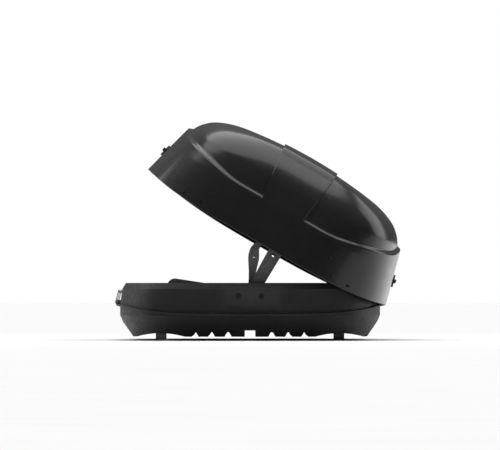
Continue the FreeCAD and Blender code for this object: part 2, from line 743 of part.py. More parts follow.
def make_lock_cylinder(side):
    """The key cylinder in the middle of the knob, with its keyway."""
    y, rise = size("knob_y"), size("knob_rise")
    top = -WALL - KNOB_GAP - size("knob_stand")
    barrel = wall_rod(side, y, (top - 0.6, top + 8), LOCK_RADIUS, 0, rise)
    keyway = wall_box(side, y, (top - 1, top + 5), (-0.7, 0.7), (rise - 2.6, rise + 2.6))
    return barrel.cut(keyway)


def make_lock_housing(side):
    """The guide boss inside the lid that the knob's shaft turns in, on a square foot."""
    y, rise = size("knob_y"), size("knob_rise")
    foot = wall_box(side, y, (0.3, 2.8), (-16, 16), (rise - 13, rise + 16))
    boss = wall_rod(side, y, (2, 8.7), 9, 0, rise)
    bore = wall_rod(side, y, (-1, 10), size("knob_shaft_radius") + 0.1, 0, rise)
    return foot.fuse(boss).cut(bore)


def compound(shapes, label, placement=None):
    return keep(feature(Part.makeCompound(shapes), "Group"), label, placement)


for side_name, side in SIDES.items():
    compound([make_hinge_bracket(side, y) for y in HINGE_YS], f"hinge_brackets_{side_name}")
    pin_half = size("hinge_pin_length") / 2
    compound([hinge_rod(side, size("hinge_pin_radius"), y, pin_half) for y in HINGE_YS],
             f"hinge_pins_{side_name}")
    compound([make_hinge_leaf(side, y) for y in HINGE_YS], f"hinge_leaves_{side_name}",
             lid_swing() if side > 0 else None)
    keep(feature(make_latch_rail(side)), f"latch_rail_{side_name}", lid_swing())
    keep(feature(make_latch_bar(side)), f"latch_bar_{side_name}", lid_swing())
    keep(feature(make_lock_knob(side)), f"lock_knob_{side_name}", lid_swing())
    keep(feature(make_lock_cylinder(side)), f"lock_cylinder_{side_name}", lid_swing())
    keep(feature(make_lock_housing(side)), f"lock_housing_{side_name}", lid_swing())


# ---------------------------------------------------------------- lid stiffeners and edge rivets

STIFFENER_Y = 350.0
RIVET_RADIUS = 4.0


def make_stiffener(y):
    """A hat-section rib that follows the inside of the lid from flank to flank."""
    skin = ring_loft(LID_RINGS, LIP, inset=WALL + 0.4, bottom=-1, top=-WALL - 0.4)
    flange = ring_loft(LID_RINGS, LIP, inset=WALL + 2.4, bottom=-1, top=-WALL - 2.4)
    hollow = ring_loft(LID_RINGS, LIP, inset=WALL + 12, bottom=-1, top=-WALL - 12)
    crown = ring_loft(LID_RINGS, LIP, inset=WALL + 14, bottom=-1, top=-WALL - 14)

    def band(half_width, low=LIP + 100):
        return Part.makeBox(1000, 2 * half_width, 400, Vector(-500, y - half_width, low))

    flanges = skin.cut(flange).common(band(26))
    hat = skin.cut(crown).common(band(15))
    gap = skin.cut(hollow).common(band(13, LIP + 60))
    return flanges.fuse(hat).cut(gap)


for end, sign in ENDS.items():
    keep(feature(make_stiffener(sign * STIFFENER_Y)), f"lid_stiffener_{end}", lid_swing())

rivet_skin = ring_loft(LID_RINGS, LIP, inset=-2.5).cut(ring_loft(LID_RINGS, LIP, inset=-0.1))
rivets = []
RIVET_SPOTS = ((316, -6), (251, -3), (218, 45))      # across from the middle, and above the side lip
for x, rise in RIVET_SPOTS:
    for side in SIDES.values():
        stem = Part.makeCylinder(RIVET_RADIUS, 140, Vector(side * x, -1100, LIP + rise), Vector(0, 1, 0))
        rivets.append(stem.common(rivet_skin))
compound(rivets, "lid_edge_rivets", lid_swing())


# ---------------------------------------------------------------- load straps on the floor

STRAP_LEVEL = 3.8            # middle of the webbing where it crosses the floor
BUCKLE_PLATE = 1.8
BUCKLE_GAP = 0.15            # between the buckle's plate and the webbing over it
ANCHOR_DEPTH = (425.2, 428.8)


def strap_points():
    """Middle line of one strap as (x, z): from a side anchor down to the floor and across."""
    return [(424.0, 58.0), (418.0, 44.0), (376.0, 6.0), (362.0, STRAP_LEVEL)]


def make_strap(y):
    """One webbing strap, lying across the ribbed floor between two side anchors."""
    half = size("strap_thick") / 2
    right = strap_points()
    middle_line = right + [(-x, z) for x, z in right[::-1]]
    wire = Part.makePolygon([Vector(x, 0, z) for x, z in middle_line])
    outline = Part.Face(wire.makeOffset2D(half, 2, False, False, True))
    outline.translate(Vector(0, y - size("strap_width") / 2, 0))
    return outline.extrude(Vector(0, size("strap_width"), 0))


def make_buckle(y):
    """A cam buckle: a base plate under the webbing with two cheeks and a lever on top."""
    wide = size("strap_width") + 8
    low = STRAP_LEVEL - size("strap_thick") / 2 - BUCKLE_GAP - BUCKLE_PLATE
    base = Part.makeBox(52, wide, BUCKLE_PLATE, Vector(-26, y - wide / 2, low))
    cheeks = [Part.makeBox(30, 3, 14, Vector(-15, edge, low)) for edge in (y - wide / 2, y + wide / 2 - 3)]
    lever = Part.makeBox(38, wide - 6.2, 3, Vector(-24, y - wide / 2 + 3.1, low + 9))
    axle = Part.makeCylinder(2.5, wide, Vector(4, y - wide / 2, low + 10.5), Vector(0, 1, 0))
    return base.fuse(cheeks + [lever, axle]).removeSplitter()


anchors = []
for end, sign in ENDS.items():
    y = sign * size("strap_pitch") / 2
    keep(feature(make_strap(y)), f"strap_{end}")
    keep(feature(make_buckle(y)), f"strap_buckle_{end}")
    for side in SIDES.values():
        near, far = ANCHOR_DEPTH
        anchors.append(Part.makeBox(far - near, 36, 26, Vector(near if side > 0 else -far, y - 18, 50)))
compound(anchors, "strap_anchors")


# ---------------------------------------------------------------- crossbar clamps

CLAMP_FLOOR = WALL + 0.3     # the housing stands just above the floor over the crossbar tunnel
CLAMP_TOP = CLAMP_FLOOR + size("clamp_height")


def make_clamp_housing():
    """The clamp's housing: a box open below, with a round hole in its top for the knob's shaft."""
    shell = block("Sizes.clamp_width", "Sizes.clamp_length", "Sizes.clamp_height",
                  (-size("clamp_width") / 2, -size("clamp_length") / 2, CLAMP_FLOOR))
    hollow = block("Sizes.clamp_width - 6", "Sizes.clamp_length - 6", "Sizes.clamp_height - 3",
                   (-size("clamp_width") / 2 + 3, -size("clamp_length") / 2 + 3, CLAMP_FLOOR))
    bore = rod("Sizes.clamp_shaft_radius + 0.3", "20", (0, 0, CLAMP_TOP - 10))
    return carved(shell, hollow, bore)


def make_clamp_knob():
    """The clamp's star knob, its shaft and the spiral cam that drives both jaws."""
    radius = size("clamp_knob_radius")
    head = rod("Sizes.clamp_knob_radius", "22", (0, 0, CLAMP_TOP + 0.4))
    scallops = []
    for k in range(6):
        angle = math.radians(60 * k + 30)
        scallops.append(rod("7", "24", (math.cos(angle) * (radius + 2), math.sin(angle) * (radius + 2),
                                        CLAMP_TOP - 0.6)))
    shaft = rod("Sizes.clamp_shaft_radius", "20", (0, 0, CLAMP_TOP - 18))
    cam = rod("9", "14", (0, 0, CLAMP_FLOOR + 5))
    return fused(carved(head, *scallops), shaft, cam)


def make_clamp_jaw(sign):
    """A J-shaped jaw: a tongue inside the housing, a leg through the floor and a toe under the bar."""
    half_bar = size("bar_width") / 2
    thick = size("jaw_thick")
    under_bar = -size("bar_thick") - 2
    outer = half_bar + 2 + thick
    spans = [
        ((half_bar + 2, outer), (under_bar - thick, CLAMP_FLOOR + 16)),
        ((half_bar - 10, outer), (under_bar - thick, under_bar)),
        ((10, outer), (CLAMP_FLOOR + 8, CLAMP_FLOOR + 16)),
    ]
    pieces = []
    for (near, far), (low, high) in spans:
        start = near if sign > 0 else -far
        pieces.append(block("Sizes.jaw_width", str(far - near), str(high - low),
                            (-size("jaw_width") / 2, start, low)))
    return fused(*pieces)


for end, sign in ENDS.items():
    for side_name, side in SIDES.items():
        spot = Placement(Vector(side * size("clamp_x"), sign * size("bar_pitch") / 2, 0), Rotation())
        keep(make_clamp_housing(), f"clamp_housing_{end}_{side_name}", spot)
        keep(make_clamp_knob(), f"clamp_knob_{end}_{side_name}", spot)
        keep(make_clamp_jaw(-1), f"clamp_jaw_rear_{end}_{side_name}", spot)
        keep(make_clamp_jaw(1), f"clamp_jaw_front_{end}_{side_name}", spot)


# ---------------------------------------------------------------- check and export

doc.recompute()
for obj in doc.Objects:
    if "Invalid" in obj.State or "Error" in obj.State:
        raise RuntimeError(f"{obj.Name} did not recompute: {obj.State}")
for obj in kept:
    if obj.Shape.isNull() or not obj.Shape.isValid() or not obj.Shape.Solids:
        raise RuntimeError(f"{obj.Label} has no valid solid")

os.makedirs("parts", exist_ok=True)
for obj in kept:
    obj.Shape.exportStep(f"parts/{obj.Label}.step")
print(len(kept), "sub-parts written")
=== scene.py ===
"""Looks of the roof cargo box: a gloss lid, a grained tub, plated and coated lifter parts, webbing straps."""
import json
import math

import bmesh
import bpy
from mathutils import Matrix, Vector


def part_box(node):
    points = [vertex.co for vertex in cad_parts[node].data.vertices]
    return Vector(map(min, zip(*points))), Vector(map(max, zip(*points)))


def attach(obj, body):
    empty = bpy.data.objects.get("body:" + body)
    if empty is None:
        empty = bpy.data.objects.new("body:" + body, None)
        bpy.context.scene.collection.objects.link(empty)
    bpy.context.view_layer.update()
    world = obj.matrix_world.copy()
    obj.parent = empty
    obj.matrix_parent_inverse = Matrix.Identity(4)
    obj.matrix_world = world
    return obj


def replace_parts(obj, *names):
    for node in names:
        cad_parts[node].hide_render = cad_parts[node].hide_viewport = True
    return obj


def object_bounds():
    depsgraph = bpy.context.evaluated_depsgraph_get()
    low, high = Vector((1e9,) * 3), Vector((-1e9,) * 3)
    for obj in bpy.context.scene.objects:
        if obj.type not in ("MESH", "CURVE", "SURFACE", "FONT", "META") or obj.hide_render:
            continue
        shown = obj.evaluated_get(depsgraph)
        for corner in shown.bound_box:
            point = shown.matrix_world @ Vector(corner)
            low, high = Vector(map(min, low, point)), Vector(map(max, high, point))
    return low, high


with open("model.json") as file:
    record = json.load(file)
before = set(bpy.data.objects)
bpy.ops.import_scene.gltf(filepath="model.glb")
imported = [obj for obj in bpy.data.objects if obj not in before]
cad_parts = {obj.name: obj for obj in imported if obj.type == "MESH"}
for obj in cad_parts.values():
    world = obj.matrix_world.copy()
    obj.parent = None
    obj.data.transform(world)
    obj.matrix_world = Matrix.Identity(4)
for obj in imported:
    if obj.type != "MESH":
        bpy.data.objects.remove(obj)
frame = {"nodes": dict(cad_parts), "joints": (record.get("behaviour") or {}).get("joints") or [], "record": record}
cad_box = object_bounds()

# ---------------------------------------------------------------- shared facts of the frame

JOINTS = {joint["name"]: joint for joint in frame["joints"]}
HINGE = Vector(JOINTS["lid_right_hinge"]["pos_m"])
LID_OPEN = math.radians(-JOINTS["lid_right_hinge"]["range_deg"][0])
LID_TURN = Matrix.Translation(HINGE) @ Matrix.Rotation(LID_OPEN, 4, "Y") @ Matrix.Translation(-HINGE)


def smooth_step(value):
    """0 below 0, 1 above 1, with a soft start and end between."""
    t = min(max(value, 0.0), 1.0)
    return t * t * (3 - 2 * t)


def mix(a, b, share):
    """The value that lies the given share of the way from a to b."""
    return a + (b - a) * share


# ---------------------------------------------------------------- materials

WEAR_START, WEAR_FULL = 0.53, 0.62    # pointiness of an edge at which wear starts, and at which it is full


def new_material(name):
    """An empty node material; gives the material and its principled shader."""
    material = bpy.data.materials.new(name)
    material.use_nodes = True
    nodes = material.node_tree.nodes
    nodes.clear()
    output = nodes.new("ShaderNodeOutputMaterial")
    shader = nodes.new("ShaderNodeBsdfPrincipled")
    material.node_tree.links.new(shader.outputs["BSDF"], output.inputs["Surface"])
    return material, shader


def noise(tree, scale, detail=4.0, roughness=0.6, stretch=(1, 1, 1)):
    """A noise texture in object space; stretch scales its coordinates axis by axis."""
    coordinates = tree.nodes.new("ShaderNodeTexCoord")
    mapping = tree.nodes.new("ShaderNodeMapping")
    mapping.inputs["Scale"].default_value = stretch
    texture = tree.nodes.new("ShaderNodeTexNoise")
    texture.inputs["Scale"].default_value = scale
    texture.inputs["Detail"].default_value = detail
    texture.inputs["Roughness"].default_value = roughness
    tree.links.new(coordinates.outputs["Object"], mapping.inputs["Vector"])
    tree.links.new(mapping.outputs["Vector"], texture.inputs["Vector"])
    return texture.outputs["Fac"]


def spread(tree, value, low, high, start=0.35, end=0.65):
    """Maps a texture value between start and end onto the range from low to high."""
    ramp = tree.nodes.new("ShaderNodeMapRange")
    ramp.inputs["From Min"].default_value = start
    ramp.inputs["From Max"].default_value = end
    ramp.inputs["To Min"].default_value = low
    ramp.inputs["To Max"].default_value = high
    tree.links.new(value, ramp.inputs["Value"])
    return ramp.outputs["Result"]


def tint(tree, value, dark, light):
    """Mixes two colours by a texture value."""
    blend = tree.nodes.new("ShaderNodeMix")
    blend.data_type = "RGBA"
    blend.inputs["A"].default_value = (*dark, 1)
    blend.inputs["B"].default_value = (*light, 1)
    tree.links.new(value, blend.inputs["Factor"])
    return blend.outputs["Result"]


def bump(tree, shader, heights, distance):
    """Stacks bump layers; heights is a list of (texture value, strength)."""
    normal = None
    for value, strength in heights:
        layer = tree.nodes.new("ShaderNodeBump")
        layer.inputs["Strength"].default_value = strength
        layer.inputs["Distance"].default_value = distance
        tree.links.new(value, layer.inputs["Height"])
        if normal is not None:
            tree.links.new(normal, layer.inputs["Normal"])
        normal = layer.outputs["Normal"]
    tree.links.new(normal, shader.inputs["Normal"])


def edge_wear(tree, colour, worn, amount):
    """Lightens convex edges, where handling rubs a surface."""
    geometry = tree.nodes.new("ShaderNodeNewGeometry")
    share = spread(tree, geometry.outputs["Pointiness"], 0.0, amount, WEAR_START, WEAR_FULL)
    blend = tree.nodes.new("ShaderNodeMix")
    blend.data_type = "RGBA"
    blend.inputs["B"].default_value = (*worn, 1)
    tree.links.new(colour, blend.inputs["A"])
    tree.links.new(share, blend.inputs["Factor"])
    return blend.outputs["Result"]


def lid_plastic():
    """Satin-gloss black sheet: faint forming waves under a clear top film, and fine dust."""
    material, shader = new_material("lid_gloss")
    tree = material.node_tree
    dust = noise(tree, 9.0, 8.0, 0.7)
    colour = tint(tree, spread(tree, dust, 0.0, 1.0), (0.0050, 0.0052, 0.0056), (0.0085, 0.0088, 0.0092))
    tree.links.new(edge_wear(tree, colour, (0.03, 0.03, 0.031), 0.4), shader.inputs["Base Color"])
    tree.links.new(spread(tree, noise(tree, 40.0, 6.0), 0.20, 0.27), shader.inputs["Roughness"])
    shader.inputs["Specular IOR Level"].default_value = 0.34
    shader.inputs["Coat Weight"].default_value = 0.15
    shader.inputs["Coat Roughness"].default_value = 0.08
    waves = noise(tree, 3.0, 2.0, 0.4)
    peel = noise(tree, 260.0, 3.0, 0.5)
    bump(tree, shader, [(waves, 0.05), (peel, 0.008)], 0.001)
    return material


def moulded_plastic(name, dark, light, rough, grain_scale, grain_strength):
    """Black moulded plastic with an etched grain."""
    material, shader = new_material(name)
    tree = material.node_tree
    patches = spread(tree, noise(tree, 7.0, 6.0, 0.65), 0.0, 1.0)
    tree.links.new(edge_wear(tree, tint(tree, patches, dark, light), [c * 3 + 0.02 for c in light], 0.5),
                   shader.inputs["Base Color"])
    sheen = spread(tree, noise(tree, 60.0, 5.0), rough - 0.06, rough + 0.08)
    tree.links.new(sheen, shader.inputs["Roughness"])
    shader.inputs["Specular IOR Level"].default_value = 0.34
    grain = noise(tree, grain_scale, 3.0, 0.55)
    ripple = noise(tree, 14.0, 2.0, 0.4)
    bump(tree, shader, [(ripple, 0.08), (grain, grain_strength)], 0.0006)
    return material


def coated_steel(name, dark, light, rough, wear=0.8):
    """Powder-coated steel: a fine orange peel, thin at its edges."""
    material, shader = new_material(name)
    tree = material.node_tree
    patches = spread(tree, noise(tree, 22.0, 6.0), 0.0, 1.0)
    tree.links.new(edge_wear(tree, tint(tree, patches, dark, light), (0.12, 0.12, 0.125), wear),
                   shader.inputs["Base Color"])
    shader.inputs["Metallic"].default_value = 0.35
    sheen = spread(tree, noise(tree, 80.0, 4.0), rough - 0.05, rough + 0.08)
    tree.links.new(sheen, shader.inputs["Roughness"])
    bump(tree, shader, [(noise(tree, 900.0, 2.0), 0.18)], 0.0003)
    return material


def plated_steel(name, dark, light, rough, stretch):
    """Zinc-plated steel with rolling marks along one axis and small dull patches."""
    material, shader = new_material(name)
    tree = material.node_tree
    patches = spread(tree, noise(tree, 30.0, 8.0, 0.7), 0.0, 1.0)
    tree.links.new(tint(tree, patches, dark, light), shader.inputs["Base Color"])
    shader.inputs["Metallic"].default_value = 1.0
    marks = noise(tree, 60.0, 6.0, 0.6, stretch)
    tree.links.new(spread(tree, marks, rough - 0.08, rough + 0.12), shader.inputs["Roughness"])
    bump(tree, shader, [(marks, 0.12)], 0.0003)
    return material


def woven_webbing():
    """Black polyester webbing: ribs along the strap and picks across it."""
    material, shader = new_material("webbing_weave")
    tree = material.node_tree
    coordinates = tree.nodes.new("ShaderNodeTexCoord")
    heights = []
    for axis, scale in (("X", 520.0), ("Y", 900.0)):
        wave = tree.nodes.new("ShaderNodeTexWave")
        wave.bands_direction = axis
        wave.inputs["Scale"].default_value = scale / (2 * math.pi)
        wave.inputs["Distortion"].default_value = 1.2
        wave.inputs["Detail"].default_value = 2.0
        tree.links.new(coordinates.outputs["Object"], wave.inputs["Vector"])
        heights.append((wave.outputs["Fac"], 0.5))
    fuzz = spread(tree, noise(tree, 500.0, 4.0), 0.0, 1.0)
    tree.links.new(tint(tree, fuzz, (0.014, 0.014, 0.016), (0.05, 0.05, 0.054)), shader.inputs["Base Color"])
    shader.inputs["Roughness"].default_value = 0.78
    shader.inputs["Sheen Weight"].default_value = 0.35
    shader.inputs["Sheen Roughness"].default_value = 0.4
    bump(tree, shader, heights, 0.0004)
    return material


def sewing_thread():
    """Dark grey bonded thread."""
    material, shader = new_material("thread")
    tree = material.node_tree
    twist = spread(tree, noise(tree, 1500.0, 3.0), 0.0, 1.0)
    tree.links.new(tint(tree, twist, (0.05, 0.05, 0.052), (0.11, 0.11, 0.112)), shader.inputs["Base Color"])
    shader.inputs["Roughness"].default_value = 0.6
    bump(tree, shader, [(twist, 0.3)], 0.0001)
    return material


MATERIALS = {
    "lid_shell": lid_plastic(),
    "base_tub": moulded_plastic("tub_grain", (0.006, 0.006, 0.0065), (0.010, 0.010, 0.0105), 0.50, 1300.0,
                                0.30),
    "black_steel": coated_steel("black_coat", (0.012, 0.012, 0.012), (0.020, 0.020, 0.021), 0.42),
    "lift_arm_steel": coated_steel("grey_coat", (0.022, 0.022, 0.023), (0.034, 0.034, 0.036), 0.46),
    "zinc_steel": plated_steel("zinc_plate", (0.24, 0.24, 0.25), (0.36, 0.36, 0.37), 0.38, (1, 8, 1)),
    "spring_steel": plated_steel("spring_wire", (0.20, 0.20, 0.21), (0.34, 0.34, 0.35), 0.30, (8, 1, 8)),
    "bolt_black": coated_steel("bolt_finish", (0.003, 0.003, 0.003), (0.005, 0.005, 0.005), 0.52, 0.05),
    "webbing": woven_webbing(),
    "stiffener": moulded_plastic("rib_plastic", (0.055, 0.055, 0.058), (0.085, 0.085, 0.088), 0.50, 600.0,
                                 0.25),
    "knob_plastic": moulded_plastic("knob_grain", (0.012, 0.012, 0.013), (0.022, 0.022, 0.023), 0.45, 900.0,
                                    0.30),
    "nylon": moulded_plastic("nylon_grain", (0.018, 0.018, 0.020), (0.030, 0.030, 0.032), 0.48, 800.0, 0.30),
}
THREAD = sewing_thread()

for part in frame["record"]["subparts"]:
    node = frame["nodes"][part["node"]]
    for slot in node.material_slots:
        slot.material = MATERIALS[part["material_slot"]]


def finished(mesh, name, body, slot, material=None):
    """Makes a piece from a mesh, gives it its material and lets it ride on its body."""
    piece = bpy.data.objects.new(name, mesh)
    bpy.context.scene.collection.objects.link(piece)
    mesh.materials.append(material or MATERIALS[slot])
    mesh.polygons.foreach_set("use_smooth", [True] * len(mesh.polygons))
    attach(piece, body)
    return piece


# ---------------------------------------------------------------- lid shell

LIP = 0.084                  # level of the lid's edge along the sides, lid shut
LIP_DROP = 0.038             # how far that edge falls towards the front and rear ends
LIP_STRAIGHT = 0.662         # distance from the middle at which the fall starts
LIP_REACH = 1.106            # distance from the middle at which the fall is LIP_DROP
LIP_BLEND = 0.10             # height above the lip at which the fall has died out
SIDE_STRAIGHT = 0.350        # half length of an outline's straight sides
STRAIGHT_SHARE = 0.58        # the most of a short outline's reach that its straight side takes
REAR_POWER = 4.0             # powers of the rounded ends, where 2 is an ellipse
FRONT_POWER = 3.0
# Plan outlines from the lip upwards: height above the lip, half width, reach to the rear, reach to the front.
LID_LEVELS = [
    (0.001, 0.4573, 1.070, 1.068),
    (0.060, 0.4418, 1.058, 1.040),
    (0.120, 0.4260, 1.044, 1.005),
    (0.165, 0.4140, 1.032, 0.972),
    (0.193, 0.4045, 1.021, 0.950),
    (0.222, 0.3850, 1.001, 0.908),
    (0.250, 0.3500, 0.974, 0.850),
    (0.273, 0.2880, 0.947, 0.752),
    (0.286, 0.2030, 0.917, 0.612),
    (0.294, 0.1030, 0.862, 0.432),
    (0.296, 0.0180, 0.800, 0.300),
]
RIDGE_REAR, RIDGE_CORNER = 0.107, 0.140    # ridge height above the lip: middle and corners of the rear
RIDGE_FLANK, RIDGE_FRONT = 0.190, 0.125    # ridge height above the lip: along the flanks and at the front
CORNER_START, CORNER_SPAN = 0.16, 0.22     # the rear's rise to its corners, by distance from the middle line
FLANK_START, FLANK_SPAN = -1.05, 0.55      # the rise along the flanks, by y
FRONT_START, FRONT_SPAN = 0.45, 0.5        # the fall to the front, by y
STEP = 0.012                 # how far the upper body sits back from the ridge
STEP_RISE = 0.006            # height that the step takes
STEP_LEAD = 0.3              # share of that height that lies below the ridge
SPINE_RISE = 0.006           # how far the spine stands above the roof
SPINE_LOW, SPINE_HIGH = 0.078, 0.101    # half width of the rear spine, at the ridge and at the top
SPINE_HEIGHT = 0.18          # from the ridge to the top of the spine
SPINE_FLANK = 0.003          # width of the spine's sloping sides
SPINE_START = 0.1            # height above the lip below which there is no spine
SPINE_FADE, SPINE_FADE_END = 0.40, -0.40    # the spine dies into the roof over this length, up to this y
SPINE_ROOF, SPINE_ROOF_SPAN = 0.262, 0.02   # on the roof the spine stands up from this height, over this span
WALL = 0.0030                # thickness of the lid's sheet


def level_at(share):
    """Smooth values of (height, half width, rear, front) along the stack of outlines; share is 0 to 1."""
    place = share * (len(LID_LEVELS) - 1)
    i = min(int(place), len(LID_LEVELS) - 2)
    t = place - i
    rows = [LID_LEVELS[min(max(k, 0), len(LID_LEVELS) - 1)] for k in (i - 1, i, i + 1, i + 2)]
    values = []
    for before, start, end, after in zip(*rows):
        low, high = (end - before) / 2, (after - start) / 2
        values.append((2 * t**3 - 3 * t**2 + 1) * start + (t**3 - 2 * t**2 + t) * low
                      + (3 * t**2 - 2 * t**3) * end + (t**3 - t**2) * high)
    return values


def outline_point(angle, half_width, rear, front):
    """A point of one plan outline. angle runs once round, from the right side through the front."""
    c, s = math.cos(angle), math.sin(angle)
    power, reach, sign = (FRONT_POWER, front, 1) if s >= 0 else (REAR_POWER, rear, -1)
    x = half_width * math.copysign(abs(c) ** (2 / power), c)
    straight = min(SIDE_STRAIGHT, STRAIGHT_SHARE * reach)
    y = sign * (straight + (reach - straight) * abs(s) ** (2 / power))
    return x, y


def ridge_height(x, y):
    """Height of the ridge above the lip: low in the middle of the rear, high along the flanks."""
    rear = mix(RIDGE_REAR, RIDGE_CORNER, smooth_step((abs(x) - CORNER_START) / CORNER_SPAN))
    flank = mix(rear, RIDGE_FLANK, smooth_step((y - FLANK_START) / FLANK_SPAN))
    return mix(flank, RIDGE_FRONT, smooth_step((y - FRONT_START) / FRONT_SPAN))


def spine_share(x, height):
    """1 on the raised rear spine, 0 beside it, with a narrow flank between."""
    return smooth_step((spine_half(height) - abs(x)) / SPINE_FLANK + 0.5)


def spine_half(height):
    """Half width of the rear spine at a height above the lip."""
    return mix(SPINE_LOW, SPINE_HIGH, (height - RIDGE_REAR) / SPINE_HEIGHT)


# Mesh columns over half the spine, as shares of its half width: even, then close together at its flank.
SPINE_STATIONS = [k / 12 * 0.94 for k in range(12)] + [0.955, 0.97, 0.985, 1.0, 1.015, 1.03, 1.045]
SPINE_MOST = 0.9             # the most of an outline's half width that the spine's columns take
LID_ROWS = 160
SIDE_COLUMNS = 46            # from the spine's flank to a side
FRONT_COLUMNS = 72           # from side to side round the front


def ring_angles(height, half_width):
    """Angles round one outline, from the right side through the front; columns follow the spine's edges."""
    half = min(spine_half(height), half_width * SPINE_MOST)
    spine = [math.asin(min(half * station / half_width, 1.0) ** (REAR_POWER / 2))
             for station in SPINE_STATIONS]
    edge = spine[-1]
    side = [mix(edge, math.pi / 2, k / SIDE_COLUMNS) for k in range(1, SIDE_COLUMNS)]
    quarter = spine + side
    rear = [1.5 * math.pi - a for a in quarter[::-1]] + [1.5 * math.pi + a for a in quarter[1:]]
    front = [math.pi * k / FRONT_COLUMNS for k in range(FRONT_COLUMNS + 1)]
    return front + rear


def lid_point(angle, share):
    """A point of the shut lid's surface, by its angle round an outline and its share of the way up."""
    height, half_width, rear, front = level_at(share)
    x, y = outline_point(angle, half_width, rear, front)
    above = height - ridge_height(x, y)
    on_spine = spine_share(x, height) if height > SPINE_START else 0.0
    on_spine *= smooth_step((SPINE_FADE_END - y) / SPINE_FADE)
    back = STEP * smooth_step(above / STEP_RISE + STEP_LEAD) * (1 - on_spine * (y < 0))
    x, y = outline_point(angle, half_width - back, rear - back, front - back)
    height += SPINE_RISE * on_spine * smooth_step((height - SPINE_ROOF) / SPINE_ROOF_SPAN)
    fall = max(abs(y) - LIP_STRAIGHT, 0) / (LIP_REACH - LIP_STRAIGHT)
    lip_fall = LIP_DROP * fall**2 * max(1 - height / LIP_BLEND, 0)
    return Vector((x, y, LIP + height - lip_fall))


def close_row(mesh, row):
    """Closes one rounded end of the top outline with strips from side to side."""
    k, j = 0, len(row) - 1
    while k + 1 < j - 1:
        mesh.faces.new((row[k], row[k + 1], row[j - 1], row[j]))
        k, j = k + 1, j - 1
    mesh.faces.new((row[k], row[k + 1], row[j]))


def build_lid():
    """The moulded lid: one sheet with a ridge, a step above it and a spine down its rear."""
    mesh = bmesh.new()
    rows = []
    for k in range(LID_ROWS + 1):
        share = k / LID_ROWS
        height, half_width, _, _ = level_at(share)
        rows.append([mesh.verts.new(LID_TURN @ lid_point(a, share)) for a in ring_angles(height, half_width)])
    count = len(rows[0])
    for low, high in zip(rows, rows[1:]):
        for k in range(count):
            j = (k + 1) % count
            mesh.faces.new((low[k], low[j], high[j], high[k]))
    top = rows[-1]
    close_row(mesh, top[:FRONT_COLUMNS + 1])
    close_row(mesh, top[FRONT_COLUMNS + 1:])
    mesh.faces.new((top[FRONT_COLUMNS], top[FRONT_COLUMNS + 1], top[-1], top[0]))
    bmesh.ops.recalc_face_normals(mesh, faces=mesh.faces)
    data = bpy.data.meshes.new("lid_moulding")
    mesh.to_mesh(data)
    mesh.free()
    lid = finished(data, "lid_moulding", "lid", "lid_shell")
    wall = lid.modifiers.new("wall", "SOLIDIFY")
    wall.thickness = WALL
    wall.offset = -1
    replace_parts(lid, "lid_shell")


build_lid()


# ---------------------------------------------------------------- swept wires and ribbons

def swept(name, path, outline, across=None):
    """A closed outline carried along a path of points, closed at both ends.

    outline(k) gives the section at point k as (sideways, outward) pairs; across fixes the sideways direction,
    and without it the section turns as little as it can.
    """
    mesh = bmesh.new()
    rings = []
    sideways = across
    for k, point in enumerate(path):
        along = (path[min(k + 1, len(path) - 1)] - path[max(k - 1, 0)]).normalized()
        if across is None:
            guess = sideways or (Vector((0, 1, 0)) if abs(along.y) < 0.9 else Vector((1, 0, 0)))
            sideways = (guess - along * guess.dot(along)).normalized()
        outward = along.cross(sideways).normalized()
        rings.append([mesh.verts.new(point + sideways * u + outward * v) for u, v in outline(k)])
    for low, high in zip(rings, rings[1:]):
        for k in range(len(low)):
            j = (k + 1) % len(low)
            mesh.faces.new((low[k], low[j], high[j], high[k]))
    for ring in (rings[0], rings[-1]):
        mesh.faces.new(ring)
    bmesh.ops.recalc_face_normals(mesh, faces=mesh.faces)
    data = bpy.data.meshes.new(name)
    mesh.to_mesh(data)
    mesh.free()
    return data


WIRE_SIDES = 14              # corners of a wire's section


def round_section(radius):
    """The round section of a wire."""
    corners = [2 * math.pi * k / WIRE_SIDES for k in range(WIRE_SIDES)]
    return [(radius * math.cos(a), radius * math.sin(a)) for a in corners]


# ---------------------------------------------------------------- lifter springs

SPRING_WIRE = 0.0008         # radius of the wire
SPRING_TURNS = 3
TURN_STEPS = 28              # points on the path in one turn
LEG_DOWN, LEG_UP = 0.024, 0.012
DOWN_STEPS, UP_STEPS = 6, 4


def build_spring(node):
    """A torsion spring round the lifter's pivot: close coils, a leg down to the web and a leg up the arm."""
    low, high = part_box(node)
    middle = (low + high) / 2
    radius = (high.x - low.x) / 2 - SPRING_WIRE
    start, end = low.y + SPRING_WIRE, high.y - SPRING_WIRE
    steps = TURN_STEPS * SPRING_TURNS
    path = [Vector((middle.x + radius, start, middle.z - LEG_DOWN * (1 - k / DOWN_STEPS)))
            for k in range(DOWN_STEPS)]
    for k in range(steps + 1):
        angle = 2 * math.pi * SPRING_TURNS * k / steps
        path.append(Vector((middle.x + radius * math.cos(angle), mix(start, end, k / steps),
                            middle.z + radius * math.sin(angle))))
    path += [Vector((middle.x + radius, end, middle.z + LEG_UP * k / UP_STEPS))
             for k in range(1, UP_STEPS + 1)]
    data = swept(node + "_coil", path, lambda k: round_section(SPRING_WIRE))
    spring = finished(data, node + "_coil", "base", "spring_steel")
    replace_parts(spring, node)


# ---------------------------------------------------------------- webbing straps

